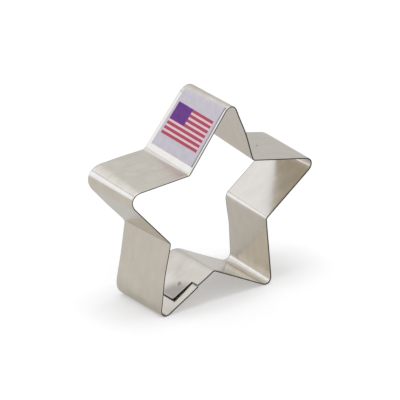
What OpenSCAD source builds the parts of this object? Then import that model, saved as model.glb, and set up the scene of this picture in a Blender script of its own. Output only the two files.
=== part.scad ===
// Star cookie cutter: one strip of tinned steel bent on edge into a five-pointed star.
// The ends of the strip lap on the inside of one wall and are spot welded.
// The star stands on its two lower tips, in the XZ plane; the strip is as deep as the star along Y.
// The cutting edge faces -Y. From there the star opens towards the back edge, and its bends get wider.
// The origin is at the bottom centre of the whole part.

/* [Strip] */
// Depth of the cutter, which is the width of the strip
strip_w = 25.4; // [22:0.1:60]
// Thickness of the sheet
strip_t = 0.5; // [0.3:0.05:0.8]

/* [Star] */
// Centre of the star to the sharp point of a tip, on the middle of the sheet, halfway across the strip
tip_reach = 46; // [42:0.5:80]
// Centre of the star to the sharp corner of a notch between two tips
notch_reach = 23; // [20:0.5:27]
// How much larger the star is at the back edge than at the cutting edge, as a share
flare = 0.045; // [0:0.005:0.08]
// Radius of the bend at a tip, on the middle of the sheet, before each bend's own share
tip_bend_r = 3.6; // [2:0.1:4]
// Radius of the bend at a notch, on the middle of the sheet, before each bend's own share
notch_bend_r = 2; // [1.4:0.1:2.4]
// Share of the hand-bent unevenness: 0 is the regular star, 1 the star as bent
stray_share = 1; // [0:0.1:1]

/* [Lap joint] */
// Seam to the sharp corner of the notch beside it
seam_from_notch = 8.4; // [6:0.1:12]
// Gap between the end of the outer layer and the shoulders that it butts
seam_gap = 0.15; // [0.1:0.05:0.3]
// Length of the tongue past the seam
tongue_len = 9.4; // [6:0.1:14]
// Step from each edge of the strip to the side of the tongue
shoulder_w = 3.5; // [2:0.1:5]
// Gap between the tongue and the layer that it lies on
lap_gap = 0.1; // [0.05:0.05:0.2]
// Length of the set that lifts the tongue on to the inside of the outer layer
joggle_len = 1.4; // [1:0.1:2]
// Width of the relief slit on each side of that set
slit_w = 0.3; // [0.2:0.05:0.6]

/* [Spot welds] */
// Diameter of a weld
weld_d = 1.9; // [1.2:0.1:3]
// Side of the tongue to the centre of the weld nearest to it
weld_from_side = 4.2; // [2.5:0.1:5]
// Seam to the line through the welds
weld_from_seam = 3.2; // [2.5:0.1:5]
// Width of the ring that the electrode leaves round a weld
weld_ring_w = 0.06; // [0.04:0.01:0.1]
// Depth of the dimple that the electrode leaves on each side
weld_dimple = 0.06; // [0.02:0.02:0.1]

/* [Label] */
// Thickness of the label paper and its glue
label_t = 0.12; // [0.08:0.02:0.2]
// Bare metal between the label and the cutting edge
label_edge_gap = 0.8; // [0.2:0.1:4]
// Bare metal between the label and the back edge
label_back_gap = 1.6; // [0.2:0.1:4]
// How far the label reaches on to the top bend, along the wall, at the back edge
label_on_bend = 3; // [0:0.1:3.5]
// Bare metal between the label and the start of the notch bend below it
label_notch_gap = 1.8; // [0.2:0.1:6]

/* [Hidden] */

// Corners run counterclockwise seen from the cutting edge, tip and notch in turn, from the top tip.
CORNERS = 10;
TIP_TOP = 0;
TIP_LOWER_LEFT = 4;
FULL_TURN = 360;
corner_step = FULL_TURN / CORNERS;
quarter_turn = FULL_TURN / 4;

// The strip's two edges: the cutting edge first, then the back edge
EDGES = [0, 1];
edge_y = [-strip_w / 2, strip_w / 2];
edge_scale = [1 - flare / 2, 1 + flare / 2];

// Unevenness of each corner: share of its reach that it stands out, and degrees that it leans.
reach_stray_shares = [-0.054, 0.024, 0.026, 0.036, 0.046, -0.053, -0.0519, 0.008, 0.043, 0.042];
lean_degrees = [-7.7, 1, -3.4, -3.8, -2, -6.3, -1.2, -1, -5.3, -5.6];
// Bend radius of each corner at each edge, as a share of the nominal one for a tip or a notch
bend_shares = [
    [0.72, 0.63, 0.98, 0.72, 1.02, 0.84, 0.63, 0.53, 0.75, 0.5],
    [1.35, 1.42, 1.33, 1.19, 1.08, 2.76, 0.677, 1.49, 1.03, 1.25]
];

function is_tip(k) = k % 2 == 0;
function wrap(k) = (k + CORNERS) % CORNERS;
function corner_reach(k) = (is_tip(k) ? tip_reach : notch_reach) * (1 + stray_share * reach_stray_shares[k]);
function corner_angle(k) = quarter_turn + corner_step * k + stray_share * lean_degrees[k];
function plain_corner(k) = corner_reach(k) * [cos(corner_angle(k)), sin(corner_angle(k))];
function unit(v) = v / norm(v);

// The walls run the same way at both edges, so each wall is flat and each bend is a cone.
plain_corners = [for (k = [0 : CORNERS - 1]) plain_corner(k)];
to_next = [for (k = [0 : CORNERS - 1]) unit(plain_corners[wrap(k + 1)] - plain_corners[k])];
bisector = [for (k = [0 : CORNERS - 1]) unit(to_next[k] - to_next[wrap(k - 1)])];
half_angle = [for (k = [0 : CORNERS - 1]) acos(to_next[k] * bisector[k])];
wall_angle = [for (k = [0 : CORNERS - 1]) atan2(to_next[k][1], to_next[k][0])];

function bend_r(edge, k) = (is_tip(k) ? tip_bend_r : notch_bend_r) * bend_shares[edge][k];
function outer_r(edge, k) = bend_r(edge, k) + strip_t / 2;
function trim(edge, k) = bend_r(edge, k) / tan(half_angle[k]);
raw_centres = [for (edge = EDGES) [for (k = [0 : CORNERS - 1])
    plain_corners[k] * edge_scale[edge] + bisector[k] * bend_r(edge, k) / sin(half_angle[k])]];

// The tips' bends reach furthest out, so they give the box of the star and with it the origin. Each edge
// stands on the floor.
left_x = min([for (edge = EDGES, k = [0 : 2 : CORNERS - 1]) raw_centres[edge][k][0] - outer_r(edge, k)]);
right_x = max([for (edge = EDGES, k = [0 : 2 : CORNERS - 1]) raw_centres[edge][k][0] + outer_r(edge, k)]);
low_z = [for (edge = EDGES) min([for (k = [0 : 2 : CORNERS - 1]) raw_centres[edge][k][1] - outer_r(edge, k)])];
origin_shift = [for (edge = EDGES) [-(left_x + right_x) / 2, -low_z[edge]]];
corners = [for (edge = EDGES) [for (c = plain_corners) c * edge_scale[edge] + origin_shift[edge]]];
centres = [for (edge = EDGES) [for (c = raw_centres[edge]) c + origin_shift[edge]]];

// Each bend as steps of a few degrees: a tip turns one way about its centre, and a notch the other.
facet_turn = 5;
function signed_turn(a) = (a + 1.5 * FULL_TURN) % FULL_TURN - FULL_TURN / 2;
bend_turn = [for (k = [0 : CORNERS - 1]) signed_turn(wall_angle[k] - wall_angle[wrap(k - 1)])];
bend_start = [for (k = [0 : CORNERS - 1]) wall_angle[wrap(k - 1)] + (is_tip(k) ? -quarter_turn : quarter_turn)];
function surface_r(edge, k, outward) = bend_r(edge, k) + (is_tip(k) ? outward : -outward);
function bend_steps(k) = ceil(abs(bend_turn[k]) / facet_turn);
function on_bend(edge, k, outward, share) = centres[edge][k] + surface_r(edge, k, outward)
    * [cos(bend_start[k] + share * bend_turn[k]), sin(bend_start[k] + share * bend_turn[k])];
// The star's outline at one edge, moved out from the middle of the sheet
function outline(edge, outward) = [for (k = [0 : CORNERS - 1], step = [0 : bend_steps(k)])
    let (p = on_bend(edge, k, outward, step / bend_steps(k))) [p[0], edge_y[edge], p[1]]];

// Halfway across the strip: the corners, and how far each wall leans out on its way to the back edge
middle_corners = (corners[0] + corners[1]) / 2;
wall_len = [for (k = [0 : CORNERS - 1]) norm(middle_corners[wrap(k + 1)] - middle_corners[k])];
function outward_way(k) = [to_next[k][1], -to_next[k][0]];
wall_tilt = [for (k = [0 : CORNERS - 1]) atan((corners[1][k] - corners[0][k]) * outward_way(k) / strip_w)];

// Places on the lapped wall, measured from its tip towards the bottom notch
LAP_WALL = TIP_LOWER_LEFT;
LABEL_WALL = TIP_TOP;
seam_x = wall_len[LAP_WALL] - seam_from_notch;
tongue_w = strip_w - 2 * shoulder_w;
layer_step = strip_t + lap_gap;
stack_t = 2 * strip_t + lap_gap;
weld_x = seam_x - weld_from_seam;
weld_pitch = tongue_w - 2 * weld_from_side;

// The label fills its wall up to the bare margins, and laps on to the bend of the top tip.
label_x = trim(1, LABEL_WALL) - label_on_bend;
label_end_x = wall_len[LABEL_WALL] - trim(1, wrap(LABEL_WALL + 1)) - label_notch_gap;
label_w = strip_w - label_edge_gap - label_back_gap;
// How far in the label's end can lie on the bend, from the flat of its wall
label_wrap_depth = 3;

// How far the root of the tongue reaches into the sheet that it grows from
root_overlap = 0.3;
// How far the underside of that root stays above the outside of the sheet
root_rise = 0.02;
weld_facets = 48;

// Extrudes a section of a wall across the strip, with the middle of its width on the middle of the strip.
module across_strip(width) {
    rotate([quarter_turn, 0, 0])
        linear_extrude(height = width, center = true)
            children();
}

// Space of wall k: X along it from its first corner, Y across the strip, Z towards the inside of the star.
module on_wall(k) {
    translate([middle_corners[k][0], 0, middle_corners[k][1]])
        rotate([0, -wall_angle[k], 0])
            rotate([-wall_tilt[k], 0, 0])
                children();
}

// A closed ring round the star, from the outline moved out by inner_out to the one moved out by outer_out
module ring(inner_out, outer_out) {
    loops = [outline(0, outer_out), outline(1, outer_out), outline(1, inner_out), outline(0, inner_out)];
    n = len(loops[0]);
    polyhedron(
        points = [for (loop = loops) each loop],
        faces = [for (a = [0 : len(loops) - 1], i = [0 : n - 1])
            let (b = (a + 1) % len(loops), j = (i + 1) % n)
            [a * n + i, a * n + j, b * n + j, b * n + i]]
    );
}

// The tongue seen on edge, with the set that lifts it over the outer layer
module tongue_section() {
    half_t = strip_t / 2;
    end_x = seam_x - tongue_len;
    root_x = seam_x + joggle_len;
    slope = layer_step / joggle_len;
    polygon([
        [end_x, layer_step - half_t],
        [seam_x, layer_step - half_t],
        [root_x, root_rise - half_t],
        [root_x + root_overlap, root_rise - half_t],
        [root_x + root_overlap, half_t - slope * root_overlap],
        [seam_x, layer_step + half_t],
        [end_x, layer_step + half_t]
    ]);
}

// Slot through the lapped wall, from the end of the outer layer for a length along the wall
module slot_section(length) {
    translate([seam_x - seam_gap, -strip_t])
        square([length, 2 * strip_t]);
}

// One child on the axis of each weld, with Z from the outer layer to the tongue
module at_welds() {
    on_wall(LAP_WALL)
        for (side = [-1, 1])
            translate([weld_x, side * weld_pitch / 2, -strip_t / 2])
                children();
}

module cutter_band() {
    color("silver")
        difference() {
            union() {
                difference() {
                    ring(-strip_t / 2, strip_t / 2);
                    on_wall(LAP_WALL) {
                        across_strip(2 * strip_w) slot_section(seam_gap);
                        across_strip(tongue_w + 2 * slit_w) slot_section(seam_gap + joggle_len);
                    }
                }
                on_wall(LAP_WALL) across_strip(tongue_w) tongue_section();
            }
            at_welds()
                translate([0, 0, -strip_t])
                    cylinder(h = stack_t + 2 * strip_t, d = weld_d + 2 * weld_ring_w, $fn = weld_facets);
        }
}

module spot_welds() {
    color("gainsboro")
        at_welds()
            translate([0, 0, weld_dimple])
                cylinder(h = stack_t - 2 * weld_dimple, d = weld_d, $fn = weld_facets);
}

module label() {
    color("lavender")
        intersection() {
            ring(strip_t / 2, strip_t / 2 + label_t);
            on_wall(LABEL_WALL)
                translate([label_x, label_edge_gap - strip_w / 2, -strip_t - label_t])
                    cube([label_end_x - label_x, label_w, strip_t + label_t + label_wrap_depth]);
        }
}

cutter_band();
spot_welds();
label();
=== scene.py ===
"""Looks of the star cookie cutter: the bent strip, its lap joint and welds, the label and the studio."""
import math

import bmesh
import bpy
import numpy as np
from mathutils import Matrix, Vector


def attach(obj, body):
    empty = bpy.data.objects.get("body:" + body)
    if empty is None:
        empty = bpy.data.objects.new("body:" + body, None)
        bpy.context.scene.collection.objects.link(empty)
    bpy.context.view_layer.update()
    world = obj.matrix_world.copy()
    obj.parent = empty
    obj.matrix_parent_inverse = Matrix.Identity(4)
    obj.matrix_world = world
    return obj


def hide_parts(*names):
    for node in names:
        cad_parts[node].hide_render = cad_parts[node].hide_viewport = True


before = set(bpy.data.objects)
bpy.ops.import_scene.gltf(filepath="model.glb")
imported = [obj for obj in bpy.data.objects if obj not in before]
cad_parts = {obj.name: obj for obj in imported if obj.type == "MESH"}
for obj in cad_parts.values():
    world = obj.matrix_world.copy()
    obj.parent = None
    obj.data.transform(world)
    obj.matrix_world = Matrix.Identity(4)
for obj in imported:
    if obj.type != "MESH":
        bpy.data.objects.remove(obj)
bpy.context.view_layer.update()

# Lengths are in millimetres, apart from the camera's distance, the floor and the lamp, in metres.
MM = 0.001

# The strip
STRIP_W = 25.4
STRIP_T = 0.5
HALF_W = STRIP_W / 2
HALF_T = STRIP_T / 2
# How far the outer face draws in at a sheared edge, and over which width
EDGE_ROLL = 0.07
EDGE_ROLL_W = 0.9
# How uneven the sheet is, and where this fades near both ends
RIPPLE = 0.007
RIPPLE_FROM = 24
RIPPLE_FADE = 10

# The star's corners run counterclockwise seen from the cutting edge,
# tip and notch in turn, from the top tip.
CORNERS = 10
TIP_TOP = 0
TIP_LOWER_LEFT = 4
NOTCH_BOTTOM = 5
TIP_REACH = 46
NOTCH_REACH = 23
# How each corner strays from a regular star: its reach, as a share, and its direction, in degrees
REACH_STRAYS = (-0.045, 0.025, 0.025, 0.04, 0.04, -0.05, -0.051, -0.005, 0.04, 0.025)
LEANS = (-6.5, 1.7, -2.9, -4.1, -2.1, -7.2, -0.9, -0.3, -4.6, -4.5)
STAR_X = -1.62
STAR_Z = 34.13

# The star is a little smaller at the cutting edge and opens towards the back edge. At both edges each
# corner has the size of its bend, and how far it lies outwards and to the left from its plain place.
FRONT_SCALE = 0.978
FRONT_BENDS = (2.8, 1.3, 3.3, 1.4, 2.52, 1.6, 2.33, 1.2, 2.6, 1.4)
FRONT_OUT = (0, 0, 0, -0.2, -2.0, 0, -0.1, 0, 0.35, -0.35)
FRONT_TURN = (0, 0, 0, 0, 0.4, 0, 0, 0, 0, 0)
BACK_BENDS = (4.4, 2.8, 4.9, 2.4, 5.0, 7, 2.8, 2.8, 3.8, 2.2)
BACK_OUT = (0.6, 1.3, 1.8, 0.3, 1.16, -0.1, 0.2, 0.7, 1.75, 1.2)
BACK_TURN = (-0.9, -0.2, -0.7, -0.3, 1.1, 1.05, 0.9, 0.7, 0.6, 0)
# How far the middle of each wall bows out of the star at the cutting edge and at the back edge
FRONT_BOWS = (0, 0, 0, 0.5, 0.2, 0, 0, 0, 0, 0.5)
BACK_BOWS = (0, 0.1, 0.1, -0.2, 0.1, 0.1, 0.45, 0.1, 0, 0)
# 0 bends like a circle, 1 like a strip whose curvature swells and fades
BEND_SOFTNESS = 0.42

# The lap joint, measured from the sharp corner of the bottom notch along the wall
SEAM_AT = 8.35
SEAM_GAP = 0.12
TONGUE_END_AT = 18.0
ROOT_AT = 8.2
TONGUE_HALF_W = 8.9
SLIT_W = 0.3
# The sheet rises by this much from the bottom notch on to the outer layer.
LAP_STEP = 0.6
LIFT_FROM = 2.5
LIFT_LEN = 8.5
# The tongue's front corner rises a little more: from here across the strip, and from here past the seam
TONGUE_CURL = 0.2
CURL_FROM_Y = 4
CURL_OVER_Y = 13
CURL_START = 2
CURL_LEN = 7.2

# The welds: a dimple in both faces of the lap, with a low ring round it
WELD_AT = 11.5
WELD_Y = 5.0
DIMPLE_DEPTH = 0.1
DIMPLE_R = 0.8
DIMPLE_SLOPE = 0.35
RING_RISE = 0.025
RING_R = 1.3
RING_W = 0.14
# Where the mesh is made finer and pressed, and how near a point has to be to either face of the lap
FINER_R = 1.9
FINER_CUTS = 7
PRESSED_R = 1.7
LAP_REACH = 1.2
NEAR_INNER_FACE = 0.16
NEAR_OUTER_FACE = 0.06
# The weld metal in the dimples: radius and height above the end of the nugget
NUGGET_PROFILE = ((0.3, -0.004), (0.58, -0.012), (0.7, -0.03), (0.92, -0.06), (0.97, -0.12))
NUGGET_INSET = 0.045
NUGGET_SIDES = 40

# The label, across the strip, and along it from a share of the top bend to a share of the wall
LABEL_T = 0.12
LABEL_GLUE = 0.008
LABEL_FRONT = -11.9
LABEL_W = 22.9
LABEL_BEND_FROM = 0.77
LABEL_BEND_LEN = 0.23
LABEL_WALL_TO = 0.915
# The label's ripple begins in the sheet's this far before the wall's first mesh line.
LABEL_RIPPLE_LEAD = 1.4
# Its lower corners lift off a little.
CORNER_LIFT = 0.05
LIFTED_COLUMNS = 4
LIFTED_FROM_Y = 9
LIFTED_OVER_Y = 3

# The print keeps its height while the wall gets longer towards the back edge.
PRINT_FRONT = -10.25
PRINT_BACK = 9.75
PRINT_TOP_BACK = 5.0
PRINT_TOP_FRONT = 6.4
PRINT_TALL_BACK = 13.44
PRINT_TALL_FRONT = 12.3
# Down the print, a stripe and the space after it are two steps.
PRINT_STEPS = 13.18
STRIPE_SHARE = 0.59
BLOCK_STEPS = 7.0
BLOCK_FRONT = 1.5

# A speck in the tin, outside on one wall
SPECK_WALL = 8
SPECK_STEP = 9
SPECK_Y = -0.25

# Segments along the strip, from the tongue's end on
LAP_SEGMENTS = 10
SHOULDER_SEGMENTS = 8
ROOT_SEGMENTS = 4
TIP_SEGMENTS = 30
NOTCH_SEGMENTS = 18
WALL_SEGMENTS = 16
END_SEGMENTS = 12
# Segments along the label, and across it
LABEL_BEND_SEGMENTS = 6
LABEL_WALL_SEGMENTS = 20
LABEL_ROW_SEGMENTS = 20
# Places across the strip where the mesh has its lines. The slits lie between 8.9 and 9.2.
HALF_ROWS = (0, 1.4, 2.8, 3.9, 5, 6.1, 7.2, 8.1, 8.9)
HALF_ROWS += (9.2, 10.3, 11.3, 11.8, 12.0, 12.2, 12.4, 12.55, 12.7)
ROWS = [-y for y in reversed(HALF_ROWS[1:])] + list(HALF_ROWS)

# The map that the materials read runs along the strip and across it, in units of this length.
MAP_UNIT = 100
# The inner faces lie this much further along it.
INSIDE_U = 10

# Display colours
TIN_DULL = (212, 204, 189)
TIN_BRIGHT = (225, 217, 203)
TIN_FLECK = (192, 186, 175)
TIN_SCRATCH = (234, 230, 221)
# Painted shade beside the cut edges on the inner faces, also used for the dark seam lines
TIN_EDGE_SHADE_AND_SEAM = (88, 81, 72)
# Painted darker reflection round the tongue's front corner
TIN_TONGUE_REFLECTION = (138, 130, 124)
TIN_SPECK = (84, 76, 68)
# The cut edge: bare steel, made darker with painted shade
EDGE_SHADED_DARK = (42, 37, 31)
EDGE_SHADED_GREY = (64, 57, 49)
EDGE_WORN = (104, 97, 88)
WELD_PALE = (176, 170, 160)
WELD_BROWN = (150, 140, 128)
WELD_PIT = (110, 102, 92)
PAPER_DULL = (216, 211, 222)
PAPER_BRIGHT = (225, 220, 229)
# Painted shade along the label's front edge
PAPER_EDGE_SHADE = (120, 116, 124)
PINK_WARM = (250, 216, 228)
PINK_COOL = (247, 221, 228)
RED_DARK = (182, 64, 88)
RED_LIGHT = (198, 80, 102)
VIOLET_DARK = (98, 34, 140)
VIOLET_LIGHT = (118, 48, 140)

# The camera, and the pixel of the square image that shows the star's middle
AZIMUTH = -38.27
ELEVATION = 22.27
ROLL = 0.48
DISTANCE = 0.9
FOCAL_PX = 2500.0
IMAGE_PX = 400
SEEN_AT = (198.8, 201.7)
SENSOR_W = 36

# The studio that the metal shows: its grey, and its soft boxes. Each has its direction, the cosine to
# that where the box begins and where it is full, and its light.
STUDIO_GREY = (0.66, 0.67, 0.69, 1)
SOFT_BOXES = (
    ((0.06, 0.727, 0.684), 0.8, 0.99, (0.86, 0.89, 0.96, 1)),
    ((-0.494, 0.727, 0.477), 0.86, 0.985, (1.25, 1.33, 1.53, 1)),
    ((0.0, 0.0, 1.0), 0.68, 0.95, (1.43, 1.46, 1.53, 1)),
)
# The darker gap between the left box and the overhead one: degrees up from the right, and the sines
# of its half width and softness
GAP_AT = 118
GAP_HALF_W = 0.045
GAP_SOFT = 0.025
GAP_GREY = (0.52, 0.52, 0.54, 1)
# The light that matt surfaces get from all sides
EVEN_LIGHT = (0.545, 0.545, 0.55, 1)
WHITE = (1, 1, 1, 1)

# The floor. The metal shows it darker than the camera does, most of all near the middle.
FLOOR_HALF = 4.0
FLOOR_COLOUR = (0.97, 0.975, 0.985, 1)
FLOOR_SHOWN = (0.5, 0.5, 0.51, 1)
CAMERA_GLOW = 0.28
MIDDLE_GLOW = 0.26
SIDE_GLOW = 0.34
MIDDLE_TO = 0.015
SIDES_FROM = 0.06

LAMP_LONG = 1.7
LAMP_DEEP = 1.1
LAMP_AT = (-0.22, 0, 3)
LAMP_WATTS = 23


def is_tip(k):
    return k % 2 == 0


def turned_left(v):
    return np.array([-v[1], v[0]])


def smooth(x):
    x = min(max(x, 0.0), 1.0)
    return x * x * (3 - 2 * x)


def shares(count, first=0):
    return [i / count for i in range(first, count + 1)]


def share_of(y):
    """Share of the way from the cutting edge to the back edge."""
    return (y + HALF_W) / STRIP_W


def plain_corner(k):
    angle = math.radians(90 + 36 * k + LEANS[k])
    reach = (TIP_REACH if is_tip(k) else NOTCH_REACH) * (1 + REACH_STRAYS[k])
    return np.array([STAR_X + reach * math.cos(angle), STAR_Z + reach * math.sin(angle)])


def corner(k, share):
    """Sharp corner k of the star; share is 0 at the cutting edge and 1 at the back edge."""
    plain = plain_corner(k)
    front = np.array([STAR_X, 0]) + (plain - np.array([STAR_X, 0])) * FRONT_SCALE
    out = plain - np.array([STAR_X, STAR_Z])
    out = out / np.linalg.norm(out)
    front = front + out * FRONT_OUT[k] + turned_left(out) * FRONT_TURN[k]
    back = plain + out * BACK_OUT[k] + turned_left(out) * BACK_TURN[k]
    return front + (back - front) * share


class Bend:
    """A bend of a given turn, whose curvature swells and fades, sampled along its length."""

    STEPS = 240

    def __init__(self, turn):
        t = (np.arange(self.STEPS) + 0.5) / self.STEPS
        heading = turn * self.turned(t)
        steps = np.stack([np.cos(heading), np.sin(heading)], -1) / self.STEPS
        self.turn = turn
        self.points = np.concatenate([[[0, 0]], np.cumsum(steps, 0)])
        self.trim = np.linalg.norm(self.points[-1]) / (2 * math.cos(turn / 2))
        self.depth = np.linalg.norm(self.points[self.STEPS // 2] - np.array([self.trim, 0]))

    @staticmethod
    def turned(t):
        return t - BEND_SOFTNESS * np.sin(2 * math.pi * t) / (2 * math.pi)

    def at(self, t):
        x = t * self.STEPS
        i = min(int(x), self.STEPS - 1)
        point = self.points[i] + (self.points[i + 1] - self.points[i]) * (x - i)
        return point, self.turn * float(self.turned(t))


class Outline:
    """The middle of the sheet seen on edge, at one place across the strip."""

    def __init__(self, share):
        self.share = share
        self.c = [corner(k, share) for k in range(CORNERS)]
        self.d = []
        self.length = []
        for k in range(CORNERS):
            way = self.c[(k + 1) % CORNERS] - self.c[k]
            self.length.append(np.linalg.norm(way))
            self.d.append(way / self.length[k])
        self.bends = []
        self.size = []
        self.trim = []
        for k in range(CORNERS):
            before, after = self.d[k - 1], self.d[k]
            turn = math.atan2(before[0] * after[1] - before[1] * after[0], before @ after)
            radius = FRONT_BENDS[k] + (BACK_BENDS[k] - FRONT_BENDS[k]) * share
            bend = Bend(turn)
            size = radius * (1 / math.cos(turn / 2) - 1) / bend.depth
            self.bends.append(bend)
            self.size.append(size)
            self.trim.append(size * bend.trim)

    def bend(self, k, t):
        """Point and inward normal at share t of the bend at corner k."""
        local, turned = self.bends[k].at(t)
        along = self.d[k - 1]
        side = turned_left(along)
        point = self.c[k] - along * self.trim[k] + self.size[k] * (local[0] * along + local[1] * side)
        return point, math.cos(turned) * side - math.sin(turned) * along

    def wall(self, k, p):
        """Point and inward normal at share p of the wall after corner k, between its bends."""
        free = self.length[k] - self.trim[k] - self.trim[(k + 1) % CORNERS]
        side = turned_left(self.d[k])
        bow = FRONT_BOWS[k] + (BACK_BOWS[k] - FRONT_BOWS[k]) * self.share
        swell = math.sin(math.pi * p) ** 2
        slope = math.pi * math.sin(2 * math.pi * p) * bow / free
        point = self.c[k] + self.d[k] * (self.trim[k] + p * free) - side * bow * swell
        normal = side + self.d[k] * slope
        return point, normal / np.linalg.norm(normal)

    def wall_share(self, from_notch):
        """Share of the lapped wall at a distance from the bottom notch's sharp corner."""
        k = TIP_LOWER_LEFT
        free = self.length[k] - self.trim[k] - self.trim[NOTCH_BOTTOM]
        return (self.length[k] - from_notch - self.trim[k]) / free

    def at(self, station):
        """Point and inward normal at a place made by make_stations."""
        kind, k, value = station
        if kind == "bend":
            return self.bend(k, value)
        if kind == "wall":
            return self.wall(k, value)
        if kind == "lap":
            return self.wall(TIP_LOWER_LEFT, self.wall_share(value))
        if kind == "root":
            start = self.wall_share(ROOT_AT)
            return self.wall(TIP_LOWER_LEFT, start + (1 - start) * value)
        end = self.wall_share(SEAM_AT + SEAM_GAP)
        return self.wall(TIP_LOWER_LEFT, end * value)


def make_stations():
    """Places along the strip, from the end of the tongue round the star to the outer layer's end.

    A place is a kind, a corner, and a share, or for the lap a distance from the bottom notch.
    """
    stations = [("lap", 0, TONGUE_END_AT + (SEAM_AT - TONGUE_END_AT) * f) for f in shares(LAP_SEGMENTS)]
    stations += [("lap", 0, SEAM_AT + (ROOT_AT - SEAM_AT) * f) for f in shares(SHOULDER_SEGMENTS, 1)]
    stations += [("root", 0, f) for f in shares(ROOT_SEGMENTS, 1)]
    for step in range(CORNERS):
        k = (NOTCH_BOTTOM + step) % CORNERS
        stations += [("bend", k, f) for f in shares(TIP_SEGMENTS if is_tip(k) else NOTCH_SEGMENTS, 1)]
        if k != TIP_LOWER_LEFT:
            stations += [("wall", k, f) for f in shares(WALL_SEGMENTS, 1)]
    stations += [("end", 0, f) for f in shares(END_SEGMENTS, 1)]
    return stations


def lengths_along(places):
    """How far along the middle of the sheet each of the places lies, from the first."""
    points = [middle_outline.at(place)[0] for place in places]
    total = [0.0]
    for before, after in zip(points, points[1:]):
        total.append(total[-1] + float(np.linalg.norm(after - before)))
    return total


middle_outline = Outline(0.5)
outlines = {y: Outline(share_of(y)) for y in ROWS}
stations = make_stations()
run = lengths_along(stations)
STRIP_LEN = run[-1]


def run_on_wall(k, step):
    """How far along the strip a mesh line of wall k lies."""
    return run[stations.index(("wall", k, step / WALL_SEGMENTS))]


def ripple(s, y):
    """Unevenness of the sheet, which the reflections show, and which fades in the lap."""
    wave = (
        math.sin(s / 6.1 + 0.7) * math.cos(y / 9.3 + 0.4)
        + 0.7 * math.sin(s / 3.9 - y / 7.7)
        + 0.5 * math.cos(s / 10.7 + y / 4.9 + 1.3)
    )
    after_start = smooth((s - RIPPLE_FROM) / RIPPLE_FADE)
    before_end = smooth((STRIP_LEN - RIPPLE_FROM - s) / RIPPLE_FADE)
    return RIPPLE * wave * after_start * before_end


def lap_lift(outline, station, y):
    """How far the sheet has risen on its way from the bottom notch on to the outer layer."""
    kind, _, value = station
    if kind == "lap":
        from_notch = value
    elif kind == "root":
        nearest = outline.trim[NOTCH_BOTTOM]
        from_notch = ROOT_AT + (nearest - ROOT_AT) * value
    else:
        return 0.0
    lift = LAP_STEP * smooth((from_notch - LIFT_FROM) / LIFT_LEN)
    toward_front = smooth((CURL_FROM_Y - y) / CURL_OVER_Y)
    toward_end = smooth((from_notch - SEAM_AT - CURL_START) / CURL_LEN)
    return lift + TONGUE_CURL * toward_front * toward_end


def rolled_edge(y):
    """How far the outer face draws in where the sheet was sheared; the inner face draws in half that."""
    return EDGE_ROLL * max(0.0, (abs(y) - (HALF_W - EDGE_ROLL_W)) / EDGE_ROLL_W) ** 2


def to_space(point, y):
    return Vector((float(point[0]) * MM, y * MM, float(point[1]) * MM))


def new_object(name, bm, materials, node):
    mesh = bpy.data.meshes.new(name)
    bm.normal_update()
    bm.to_mesh(mesh)
    bm.free()
    for material in materials:
        mesh.materials.append(material)
    piece = bpy.data.objects.new(name, mesh)
    bpy.context.scene.collection.objects.link(piece)
    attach(piece, "root")
    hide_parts(node)
    return piece


def smooth_faces(bm, sharp_angle):
    for face in bm.faces:
        face.smooth = True
    for edge in bm.edges:
        if len(edge.link_faces) == 2 and edge.calc_face_angle(0) > sharp_angle:
            edge.smooth = False


def sheet_mesh(place, columns, rows, present, rim_index):
    """A sheet with thickness. place(i, j, side) gives a point, present(i, j) whether a cell is there."""
    bm = bmesh.new()
    uv_layer = bm.loops.layers.uv.new("strip")
    found = {}

    def vert(i, j, side):
        if (i, j, side) not in found:
            found[i, j, side] = bm.verts.new(place(i, j, side))
        return found[i, j, side]

    def quad(keys, material):
        face = bm.faces.new([vert(*key) for key in keys])
        face.material_index = material
        inside = INSIDE_U if all(key[2] > 0 for key in keys) else 0
        for loop, key in zip(face.loops, keys):
            loop[uv_layer].uv = (columns[key[0]] / MAP_UNIT + inside, rows[key[1]] / MAP_UNIT)

    cells = {(i, j) for i in range(len(columns) - 1) for j in range(len(rows) - 1) if present(i, j)}
    for i, j in sorted(cells):
        quad([(i, j, 1), (i, j + 1, 1), (i + 1, j + 1, 1), (i + 1, j, 1)], 0)
        quad([(i, j, -1), (i + 1, j, -1), (i + 1, j + 1, -1), (i, j + 1, -1)], 0)
        if (i - 1, j) not in cells:
            quad([(i, j, -1), (i, j + 1, -1), (i, j + 1, 1), (i, j, 1)], rim_index)
        if (i + 1, j) not in cells:
            quad([(i + 1, j, 1), (i + 1, j + 1, 1), (i + 1, j + 1, -1), (i + 1, j, -1)], rim_index)
        if (i, j - 1) not in cells:
            quad([(i, j, 1), (i + 1, j, 1), (i + 1, j, -1), (i, j, -1)], rim_index)
        if (i, j + 1) not in cells:
            quad([(i, j + 1, -1), (i + 1, j + 1, -1), (i + 1, j + 1, 1), (i, j + 1, 1)], rim_index)
    bmesh.ops.recalc_face_normals(bm, faces=bm.faces)
    return bm


def round_rim(bm, offset, segments):
    steep = math.radians(60)
    edges = [e for e in bm.edges if len(e.link_faces) == 2 and e.calc_face_angle(0) > steep]
    bmesh.ops.bevel(
        bm,
        geom=edges,
        offset=offset * MM,
        segments=segments,
        profile=0.5,
        affect="EDGES",
        clamp_overlap=True,
    )


def band_place(i, j, side):
    y = ROWS[j]
    point, inward = outlines[y].at(stations[i])
    half = HALF_T - 0.5 * rolled_edge(y) if side > 0 else rolled_edge(y) - HALF_T
    offset = lap_lift(outlines[y], stations[i], y) + ripple(run[i], y) + half
    return to_space(point + inward * offset, y)


def band_present(i, j):
    """The tongue alone comes first, then the tongue and shoulders beside its slits, then the strip."""
    y = abs((ROWS[j] + ROWS[j + 1]) / 2)
    if i < LAP_SEGMENTS:
        return y < TONGUE_HALF_W
    if i < LAP_SEGMENTS + SHOULDER_SEGMENTS:
        return y < TONGUE_HALF_W or y > TONGUE_HALF_W + SLIT_W
    return True


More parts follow.
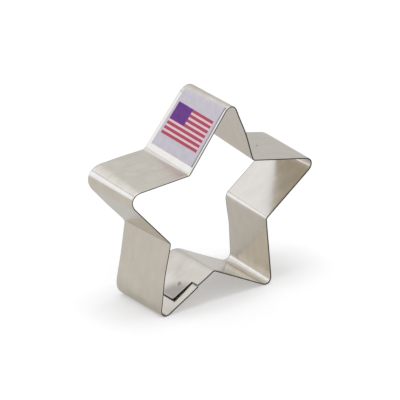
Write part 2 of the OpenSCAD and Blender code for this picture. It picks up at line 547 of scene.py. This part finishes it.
def weld_frames():
    """Middle of each weld in the outer layer, with the wall's inward normal."""
    frames = []
    for y in (-WELD_Y, WELD_Y):
        point, inward = Outline(share_of(y)).at(("lap", 0, WELD_AT))
        frames.append((to_space(point, y), Vector((float(inward[0]), 0, float(inward[1])))))
    return frames


def weld_dip(radius):
    """Depth of a weld's mark at a radius: the dimple, less the ring round it."""
    dimple = DIMPLE_DEPTH * (1 - smooth((radius - DIMPLE_R) / DIMPLE_SLOPE))
    return dimple - RING_RISE * math.exp(-(((radius - RING_R) / RING_W) ** 2))


def press_welds(bm):
    """Presses each weld's mark into the tongue's inner face and the outer layer's outer face."""
    for centre, inward in weld_frames():
        near = []
        for face in bm.faces:
            away = face.calc_center_median() - centre
            height = away.dot(inward)
            radius = (away - inward * height).length
            in_lap = abs(height) < LAP_REACH * MM and face.material_index == 0
            if in_lap and radius < FINER_R * MM:
                near.append(face)
        edges = {edge for face in near for edge in face.edges}
        bmesh.ops.subdivide_edges(bm, edges=list(edges), cuts=FINER_CUTS, use_grid_fill=True)
        for vert in bm.verts:
            away = vert.co - centre
            height = away.dot(inward)
            radius = (away - inward * height).length / MM
            if radius > PRESSED_R or abs(height) > LAP_REACH * MM:
                continue
            if abs(height / MM - (LAP_STEP + HALF_T)) < NEAR_INNER_FACE:
                way = -1
            elif abs(height / MM + HALF_T) < NEAR_OUTER_FACE:
                way = 1
            else:
                continue
            vert.co += inward * way * weld_dip(radius) * MM


def make_band(materials):
    bm = sheet_mesh(band_place, run, ROWS, band_present, 1)
    round_rim(bm, 0.04, 2)
    press_welds(bm)
    smooth_faces(bm, math.radians(38))
    return new_object("star_band", bm, materials, "cutter_band")


def make_welds(material):
    """The weld metal that shows at the bottom of each dimple, through both layers."""
    bm = bmesh.new()
    top = LAP_STEP + HALF_T - NUGGET_INSET
    bottom = -HALF_T + NUGGET_INSET
    rings = [(r, top + h) for r, h in NUGGET_PROFILE]
    rings += [(r, bottom - h) for r, h in reversed(NUGGET_PROFILE)]
    for centre, inward in weld_frames():
        up = Vector((0, 1, 0))
        side = inward.cross(up)
        loops = []
        for r, h in rings:
            loop = []
            for n in range(NUGGET_SIDES):
                a = 2 * math.pi * n / NUGGET_SIDES
                across = side * math.cos(a) + up * math.sin(a)
                loop.append(bm.verts.new(centre + (across * r + inward * h) * MM))
            loops.append(loop)
        for low, high in zip(loops, loops[1:]):
            for n in range(NUGGET_SIDES):
                m = (n + 1) % NUGGET_SIDES
                bm.faces.new([low[n], low[m], high[m], high[n]])
        for loop, height in ((loops[0], top), (loops[-1], bottom)):
            pole = bm.verts.new(centre + inward * height * MM)
            for n in range(NUGGET_SIDES):
                bm.faces.new([loop[n], loop[(n + 1) % NUGGET_SIDES], pole])
    bmesh.ops.recalc_face_normals(bm, faces=bm.faces)
    smooth_faces(bm, math.radians(50))
    return new_object("weld_nuggets", bm, [material], "spot_welds")


label_rows = [LABEL_FRONT + LABEL_W * f for f in shares(LABEL_ROW_SEGMENTS)]
label_outlines = [Outline(share_of(y)) for y in label_rows]
label_stations = [
    ("bend", TIP_TOP, LABEL_BEND_FROM + LABEL_BEND_LEN * f) for f in shares(LABEL_BEND_SEGMENTS)
]
label_stations += [("wall", TIP_TOP, LABEL_WALL_TO * f) for f in shares(LABEL_WALL_SEGMENTS, 1)]
label_columns = lengths_along(label_stations)
label_ripple_from = run_on_wall(TIP_TOP, 1) - LABEL_RIPPLE_LEAD


def label_place(i, j, side):
    y = label_rows[j]
    point, inward = label_outlines[j].at(label_stations[i])
    sheet = ripple(label_ripple_from + label_columns[i], y)
    lifted_from = len(label_stations) - 1 - LIFTED_COLUMNS
    toward_end = smooth((i - lifted_from) / LIFTED_COLUMNS)
    toward_side = smooth((abs(y) - LIFTED_FROM_Y) / LIFTED_OVER_Y)
    outer = HALF_T + LABEL_T + CORNER_LIFT * toward_end * toward_side
    depth = HALF_T + LABEL_GLUE if side > 0 else outer
    return to_space(point + inward * (sheet - depth), y)


def make_label(material):
    bm = sheet_mesh(label_place, label_columns, label_rows, lambda i, j: True, 0)
    round_rim(bm, 0.03, 1)
    smooth_faces(bm, math.radians(40))
    return new_object("paper_label", bm, [material], "label")


class Nodes:
    """Short names for making shader nodes."""

    def __init__(self, tree):
        self.tree = tree

    def add(self, kind, **values):
        node = self.tree.nodes.new(kind)
        for key, value in values.items():
            setattr(node, key, value)
        return node

    def link(self, source, target):
        self.tree.links.new(source, target)

    def put(self, socket, value):
        if isinstance(value, bpy.types.NodeSocket):
            self.link(value, socket)
        else:
            socket.default_value = value

    def math(self, operation, a, b=0.0, c=0.0):
        node = self.add("ShaderNodeMath", operation=operation)
        self.put(node.inputs[0], a)
        self.put(node.inputs[1], b)
        self.put(node.inputs[2], c)
        return node.outputs[0]

    def vector_math(self, operation, vector, constant):
        """The vector's distance to a constant one, or their dot product."""
        node = self.add("ShaderNodeVectorMath", operation=operation)
        self.link(vector, node.inputs[0])
        node.inputs[1].default_value = constant
        return node.outputs["Value"]

    def split(self, vector):
        node = self.add("ShaderNodeSeparateXYZ")
        self.link(vector, node.inputs[0])
        return node.outputs

    def strip_map(self):
        return self.add("ShaderNodeUVMap", uv_map="strip").outputs["UV"]

    def noise(self, vector, scale, detail, roughness, distortion=0.0):
        node = self.add("ShaderNodeTexNoise", noise_dimensions="3D")
        self.link(vector, node.inputs["Vector"])
        node.inputs["Scale"].default_value = scale
        node.inputs["Detail"].default_value = detail
        node.inputs["Roughness"].default_value = roughness
        node.inputs["Distortion"].default_value = distortion
        return node.outputs["Fac"]

    def drawn_noise(self, vector, scales, detail, roughness, distortion=0.0):
        """Noise with a scale of its own along each axis."""
        node = self.add("ShaderNodeMapping", vector_type="POINT")
        self.link(vector, node.inputs["Vector"])
        node.inputs["Scale"].default_value = scales
        return self.noise(node.outputs["Vector"], 1.0, detail, roughness, distortion)

    def remap(self, value, low, high, new_low=0.0, new_high=1.0, kind="LINEAR"):
        node = self.add("ShaderNodeMapRange", clamp=True, interpolation_type=kind)
        self.put(node.inputs["Value"], value)
        node.inputs["From Min"].default_value = low
        node.inputs["From Max"].default_value = high
        node.inputs["To Min"].default_value = new_low
        node.inputs["To Max"].default_value = new_high
        return node.outputs["Result"]

    def blend(self, factor, a, b):
        node = self.add("ShaderNodeMix", data_type="RGBA")
        self.put(node.inputs["Factor"], factor)
        self.put(node.inputs["A"], a)
        self.put(node.inputs["B"], b)
        return node.outputs["Result"]

    def cover(self, base, mask, share, display):
        """The base, covered up to a share with a display colour where the mask is 1."""
        return self.blend(self.math("MULTIPLY", mask, share), base, colour(display))

    def between(self, value, low, high, soft):
        """1 where the value lies between low and high, with soft edges."""
        rise = self.remap(value, low - soft, low + soft)
        fall = self.remap(value, high - soft, high + soft, 1.0, 0.0)
        return self.math("MULTIPLY", rise, fall)

    def bump(self, height, strength, distance):
        node = self.add("ShaderNodeBump")
        self.link(height, node.inputs["Height"])
        node.inputs["Strength"].default_value = strength
        node.inputs["Distance"].default_value = distance
        return node.outputs["Normal"]

    def ray_kinds(self):
        """1 for the camera's rays, and 1 for rays that reflections and clear materials send out."""
        rays = self.add("ShaderNodeLightPath").outputs
        shown = self.math("MAXIMUM", rays["Is Glossy Ray"], rays["Is Transmission Ray"])
        return rays["Is Camera Ray"], shown


def colour(display):
    """A display colour from 0 to 255 as a linear one."""
    out = []
    for value in display:
        v = value / 255
        out.append(v / 12.92 if v <= 0.04045 else ((v + 0.055) / 1.055) ** 2.4)
    return (*out, 1.0)


def new_material(name):
    material = bpy.data.materials.new(name)
    material.use_nodes = True
    tree = material.node_tree
    tree.nodes.clear()
    nodes = Nodes(tree)
    shader = nodes.add("ShaderNodeBsdfPrincipled")
    output = nodes.add("ShaderNodeOutputMaterial")
    nodes.link(shader.outputs["BSDF"], output.inputs["Surface"])
    return material, nodes, shader


def shade_edges_and_seam(n, base, uv, cloud):
    """Paints shade on the inner faces beside the cut edges, and dark lines at the butt seams beside the
    tongue.
    """
    parts = n.split(uv)
    from_middle = n.math("MULTIPLY", n.math("ABSOLUTE", parts["Y"]), MAP_UNIT)
    inside = n.math("GREATER_THAN", parts["X"], INSIDE_U / 2)
    # Painted shade along the cut edges
    rim = n.remap(n.math("ADD", from_middle, n.math("MULTIPLY", cloud, 0.12)), 12.4, 12.6)
    beside = n.math("GREATER_THAN", from_middle, TONGUE_HALF_W + 0.1)
    inner_run = n.math("MULTIPLY", n.math("SUBTRACT", parts["X"], INSIDE_U), MAP_UNIT)
    seam_run = run[LAP_SEGMENTS]
    seam = n.between(inner_run, seam_run - 0.14, seam_run + 0.2, 0.06)
    seam = n.math("MAXIMUM", seam, n.remap(inner_run, STRIP_LEN - 0.3, STRIP_LEN - 0.18))
    shade_and_seam = n.math("MAXIMUM", rim, n.math("MULTIPLY", seam, beside))
    return n.cover(base, n.math("MULTIPLY", shade_and_seam, inside), 0.85, TIN_EDGE_SHADE_AND_SEAM)


def tongue_reflection_and_speck(n, base, uv):
    """Paints a darker reflection round the tongue's front corner, and adds one dark speck on a wall."""
    tongue_corner = (INSIDE_U, -TONGUE_HALF_W / MAP_UNIT, 0)
    from_corner = n.vector_math("DISTANCE", uv, tongue_corner)
    # Painted darker reflection round the tongue's front corner
    tongue_reflection = n.remap(from_corner, 0.055, 0.105, 0.62, 0.0, "SMOOTHSTEP")
    base = n.blend(tongue_reflection, base, colour(TIN_TONGUE_REFLECTION))
    speck_at = (run_on_wall(SPECK_WALL, SPECK_STEP) / MAP_UNIT, SPECK_Y / MAP_UNIT, 0)
    from_speck = n.vector_math("DISTANCE", uv, speck_at)
    return n.blend(n.remap(from_speck, 0.0028, 0.0062, 0.85, 0.0), base, colour(TIN_SPECK))


def tinplate_material():
    """Bright tin on rolled steel: rolling grain along the strip, cloudy tin, scratches, painted shade
    beside the cut edges, dark seam lines, and a painted darker reflection by the tongue.
    """
    material, n, shader = new_material("tinplate")
    uv = n.strip_map()
    grain = n.drawn_noise(uv, (6, 420, 1), 3.0, 0.6)
    fine_grain = n.drawn_noise(uv, (14, 1300, 1), 2.0, 0.5)
    cloud = n.drawn_noise(uv, (14, 22, 1), 3.0, 0.55)
    fleck = n.drawn_noise(uv, (260, 260, 1), 2.0, 0.6)
    scratch = n.drawn_noise(uv, (9, 800, 3), 0.0, 0.5, 0.6)
    tone = n.math("ADD", n.math("MULTIPLY", cloud, 0.6), n.math("MULTIPLY", grain, 0.4))
    base = n.blend(n.remap(tone, 0.32, 0.68), colour(TIN_DULL), colour(TIN_BRIGHT))
    base = n.cover(base, n.remap(fleck, 0.62, 0.8), 0.25, TIN_FLECK)
    base = n.cover(base, n.remap(scratch, 0.7, 0.78), 0.35, TIN_SCRATCH)
    # Painted shade beside the cut edges, and dark lines at the butt seams
    base = shade_edges_and_seam(n, base, uv, cloud)
    # Painted darker reflection by the tongue, and a dark speck
    base = tongue_reflection_and_speck(n, base, uv)
    n.link(base, shader.inputs["Base Color"])
    shader.inputs["Metallic"].default_value = 1.0
    rough = n.math("ADD", n.remap(cloud, 0.3, 0.7, 0.16, 0.22), n.remap(grain, 0.3, 0.7, -0.01, 0.04))
    n.link(rough, shader.inputs["Roughness"])
    height = n.math("ADD", n.math("MULTIPLY", fine_grain, 0.5), n.math("MULTIPLY", grain, 0.5))
    n.link(n.bump(height, 0.1, 0.00003), shader.inputs["Normal"])
    return material


def cut_edge_material():
    """Sheared steel, darker than the tin and darkened further with painted shade, with fine marks across
    the sheet and bright spots where it is handled.
    """
    material, n, shader = new_material("cut_edge")
    uv = n.strip_map()
    marks = n.drawn_noise(uv, (900, 40, 1), 3.0, 0.6)
    wear = n.drawn_noise(uv, (30, 30, 1), 3.0, 0.6)
    # Bare steel darkened with painted shade
    base = n.blend(n.remap(marks, 0.3, 0.7), colour(EDGE_SHADED_DARK), colour(EDGE_SHADED_GREY))
    base = n.cover(base, n.remap(wear, 0.55, 0.75), 0.4, EDGE_WORN)
    n.link(base, shader.inputs["Base Color"])
    shader.inputs["Metallic"].default_value = 1.0
    n.link(n.remap(marks, 0.3, 0.7, 0.4, 0.58), shader.inputs["Roughness"])
    n.link(n.bump(marks, 0.4, 0.00003), shader.inputs["Normal"])
    return material


def weld_material():
    """Weld metal: tin burnt off and dulled by heat, finely pitted."""
    material, n, shader = new_material("weld_steel")
    place = n.add("ShaderNodeTexCoord").outputs["Object"]
    pits = n.noise(place, 2600.0, 3.0, 0.6)
    heat = n.noise(place, 900.0, 2.0, 0.5)
    base = n.blend(n.remap(heat, 0.35, 0.65), colour(WELD_PALE), colour(WELD_BROWN))
    base = n.cover(base, n.remap(pits, 0.55, 0.75), 0.6, WELD_PIT)
    n.link(base, shader.inputs["Base Color"])
    shader.inputs["Metallic"].default_value = 1.0
    n.link(n.remap(heat, 0.3, 0.7, 0.34, 0.46), shader.inputs["Roughness"])
    n.link(n.bump(pits, 0.35, 0.00004), shader.inputs["Normal"])
    return material


def print_masks(n, along, across):
    """1 on the whole print, on its stripes and on its block."""
    soft = 0.06
    to_front = n.remap(across, PRINT_BACK, PRINT_FRONT)
    top = n.math("MULTIPLY_ADD", to_front, PRINT_TOP_FRONT - PRINT_TOP_BACK, PRINT_TOP_BACK)
    tall = n.math("MULTIPLY_ADD", to_front, PRINT_TALL_FRONT - PRINT_TALL_BACK, PRINT_TALL_BACK)
    down = n.math("DIVIDE", n.math("SUBTRACT", along, top), tall)
    step = n.math("MULTIPLY", down, PRINT_STEPS)
    height = n.between(step, 0.0, PRINT_STEPS, soft)
    area = n.math("MULTIPLY", height, n.between(across, PRINT_FRONT, PRINT_BACK, soft))
    stripe = n.between(n.math("FRACT", n.math("DIVIDE", step, 2.0)), 0.0, STRIPE_SHARE, 0.025)
    block_height = n.between(step, 0.0, BLOCK_STEPS, soft)
    block = n.math("MULTIPLY", block_height, n.between(across, BLOCK_FRONT, PRINT_BACK, soft))
    return area, n.math("MULTIPLY", area, stripe), block


def label_material():
    """Coated paper with a printed block and stripes, and painted shade along its front edge."""
    material, n, shader = new_material("label_paper")
    uv = n.strip_map()
    parts = n.split(uv)
    waver = n.drawn_noise(uv, (70, 70, 1), 2.0, 0.5)
    waver = n.math("MULTIPLY", n.math("SUBTRACT", waver, 0.5), 0.12)
    along = n.math("ADD", n.math("MULTIPLY", parts["X"], MAP_UNIT), waver)
    across = n.math("ADD", n.math("MULTIPLY", parts["Y"], MAP_UNIT), waver)
    area, stripes, block = print_masks(n, along, across)
    fibre = n.drawn_noise(uv, (900, 900, 1), 3.0, 0.6)
    tone = n.remap(n.drawn_noise(uv, (40, 40, 1), 3.0, 0.6), 0.35, 0.65)
    ink = n.drawn_noise(uv, (420, 420, 1), 2.0, 0.7)
    paper = n.blend(tone, colour(PAPER_DULL), colour(PAPER_BRIGHT))
    pale = n.blend(tone, colour(PINK_WARM), colour(PINK_COOL))
    red = n.blend(n.remap(ink, 0.3, 0.7), colour(RED_DARK), colour(RED_LIGHT))
    violet = n.blend(tone, colour(VIOLET_DARK), colour(VIOLET_LIGHT))
    base = n.blend(area, paper, pale)
    base = n.blend(stripes, base, red)
    base = n.blend(block, base, violet)
    # Painted shade along the label's front edge
    base = n.blend(n.remap(across, -11.72, -11.5, 0.8, 0.0), base, colour(PAPER_EDGE_SHADE))
    n.link(base, shader.inputs["Base Color"])
    n.link(n.remap(ink, 0.3, 0.7, 0.42, 0.52), shader.inputs["Roughness"])
    n.link(n.bump(fibre, 0.15, 0.00003), shader.inputs["Normal"])
    return material


def place_camera():
    """The camera stands at the height and side that the photograph's edges give, about 0.9 m away."""
    azimuth = math.radians(AZIMUTH)
    elevation = math.radians(ELEVATION)
    roll = math.radians(ROLL)
    level_part = math.cos(elevation)
    back = Vector((math.sin(azimuth) * level_part, -math.cos(azimuth) * level_part, math.sin(elevation)))
    forward = -back
    level = forward.cross(Vector((0, 0, 1))).normalized()
    upright = level.cross(forward)
    right = level * math.cos(roll) + upright * math.sin(roll)
    up = upright * math.cos(roll) - level * math.sin(roll)
    off_right = (SEEN_AT[0] - IMAGE_PX / 2) / FOCAL_PX * DISTANCE
    off_down = (SEEN_AT[1] - IMAGE_PX / 2) / FOCAL_PX * DISTANCE
    target = Vector((STAR_X * MM, 0, STAR_Z * MM))
    place = target - (right * off_right - up * off_down + forward * DISTANCE)
    data = bpy.data.cameras.new("camera")
    data.sensor_width = SENSOR_W
    data.lens = FOCAL_PX / IMAGE_PX * SENSOR_W
    data.clip_start = 0.05
    data.clip_end = 50
    camera = bpy.data.objects.new("camera", data)
    turn = Matrix((right, up, back)).transposed().to_4x4()
    camera.matrix_world = Matrix.Translation(place) @ turn
    bpy.context.scene.collection.objects.link(camera)
    bpy.context.scene.camera = camera


def floor_material():
    """Matt white with some light of its own, so that the camera sees plain white."""
    material = bpy.data.materials.new("floor")
    material.use_nodes = True
    material.node_tree.nodes.clear()
    n = Nodes(material.node_tree)
    to_camera, shown = n.ray_kinds()
    matt = n.add("ShaderNodeBsdfDiffuse")
    n.link(n.blend(shown, FLOOR_COLOUR, FLOOR_SHOWN), matt.inputs["Color"])
    place = n.split(n.add("ShaderNodeTexCoord").outputs["Object"])
    sideways = n.math("ABSOLUTE", place["X"])
    shown_glow = n.remap(sideways, MIDDLE_TO, SIDES_FROM, MIDDLE_GLOW, SIDE_GLOW)
    camera_glow = n.math("MULTIPLY", to_camera, CAMERA_GLOW)
    glow = n.add("ShaderNodeEmission")
    n.link(n.math("MULTIPLY_ADD", shown, shown_glow, camera_glow), glow.inputs["Strength"])
    both = n.add("ShaderNodeAddShader")
    n.link(matt.outputs[0], both.inputs[0])
    n.link(glow.outputs[0], both.inputs[1])
    output = n.add("ShaderNodeOutputMaterial")
    n.link(both.outputs[0], output.inputs["Surface"])
    return material


def make_floor():
    half = FLOOR_HALF
    corners = [(-half, -half, 0), (half, -half, 0), (half, half, 0), (-half, half, 0)]
    mesh = bpy.data.meshes.new("floor")
    mesh.from_pydata(corners, [], [(0, 1, 2, 3)])
    mesh.materials.append(floor_material())
    floor = bpy.data.objects.new("floor", mesh)
    bpy.context.scene.collection.objects.link(floor)


def make_world():
    """A white studio: even light for matt surfaces, and soft boxes overhead that the metal shows."""
    world = bpy.data.worlds.new("studio")
    bpy.context.scene.world = world
    world.use_nodes = True
    world.node_tree.nodes.clear()
    n = Nodes(world.node_tree)
    # The half of the studio before the cutting edge is the mirror image of the half behind it.
    parts = n.split(n.add("ShaderNodeTexCoord").outputs["Generated"])
    joined = n.add("ShaderNodeCombineXYZ")
    n.link(parts["X"], joined.inputs["X"])
    n.link(n.math("ABSOLUTE", parts["Y"]), joined.inputs["Y"])
    n.link(parts["Z"], joined.inputs["Z"])
    way = joined.outputs["Vector"]
    seen = STUDIO_GREY
    for toward, outer, inner, light in SOFT_BOXES:
        near = n.vector_math("DOT_PRODUCT", way, Vector(toward).normalized())
        seen = n.blend(n.remap(near, outer, inner, 0.0, 1.0, "SMOOTHSTEP"), seen, light)
    gap_at = math.radians(GAP_AT)
    from_gap = n.vector_math("DOT_PRODUCT", way, (-math.sin(gap_at), 0, math.cos(gap_at)))
    seen = n.blend(n.between(from_gap, -GAP_HALF_W, GAP_HALF_W, GAP_SOFT), seen, GAP_GREY)
    to_camera, shown = n.ray_kinds()
    tint = n.blend(to_camera, n.blend(shown, EVEN_LIGHT, seen), WHITE)
    background = n.add("ShaderNodeBackground")
    n.link(tint, background.inputs["Color"])
    output = n.add("ShaderNodeOutputWorld")
    n.link(background.outputs[0], output.inputs["Surface"])


def make_lamp():
    """A wide light overhead. The metal shows the studio's soft boxes instead of it."""
    data = bpy.data.lights.new("strip light", "AREA")
    data.shape = "RECTANGLE"
    data.size = LAMP_LONG
    data.size_y = LAMP_DEEP
    data.energy = LAMP_WATTS
    lamp = bpy.data.objects.new("strip light", data)
    lamp.location = LAMP_AT
    lamp.visible_glossy = False
    bpy.context.scene.collection.objects.link(lamp)


make_band([tinplate_material(), cut_edge_material()])
make_welds(weld_material())
make_label(label_material())
place_camera()
make_floor()
make_world()
make_lamp()

bpy.context.scene.view_settings.view_transform = "Standard"
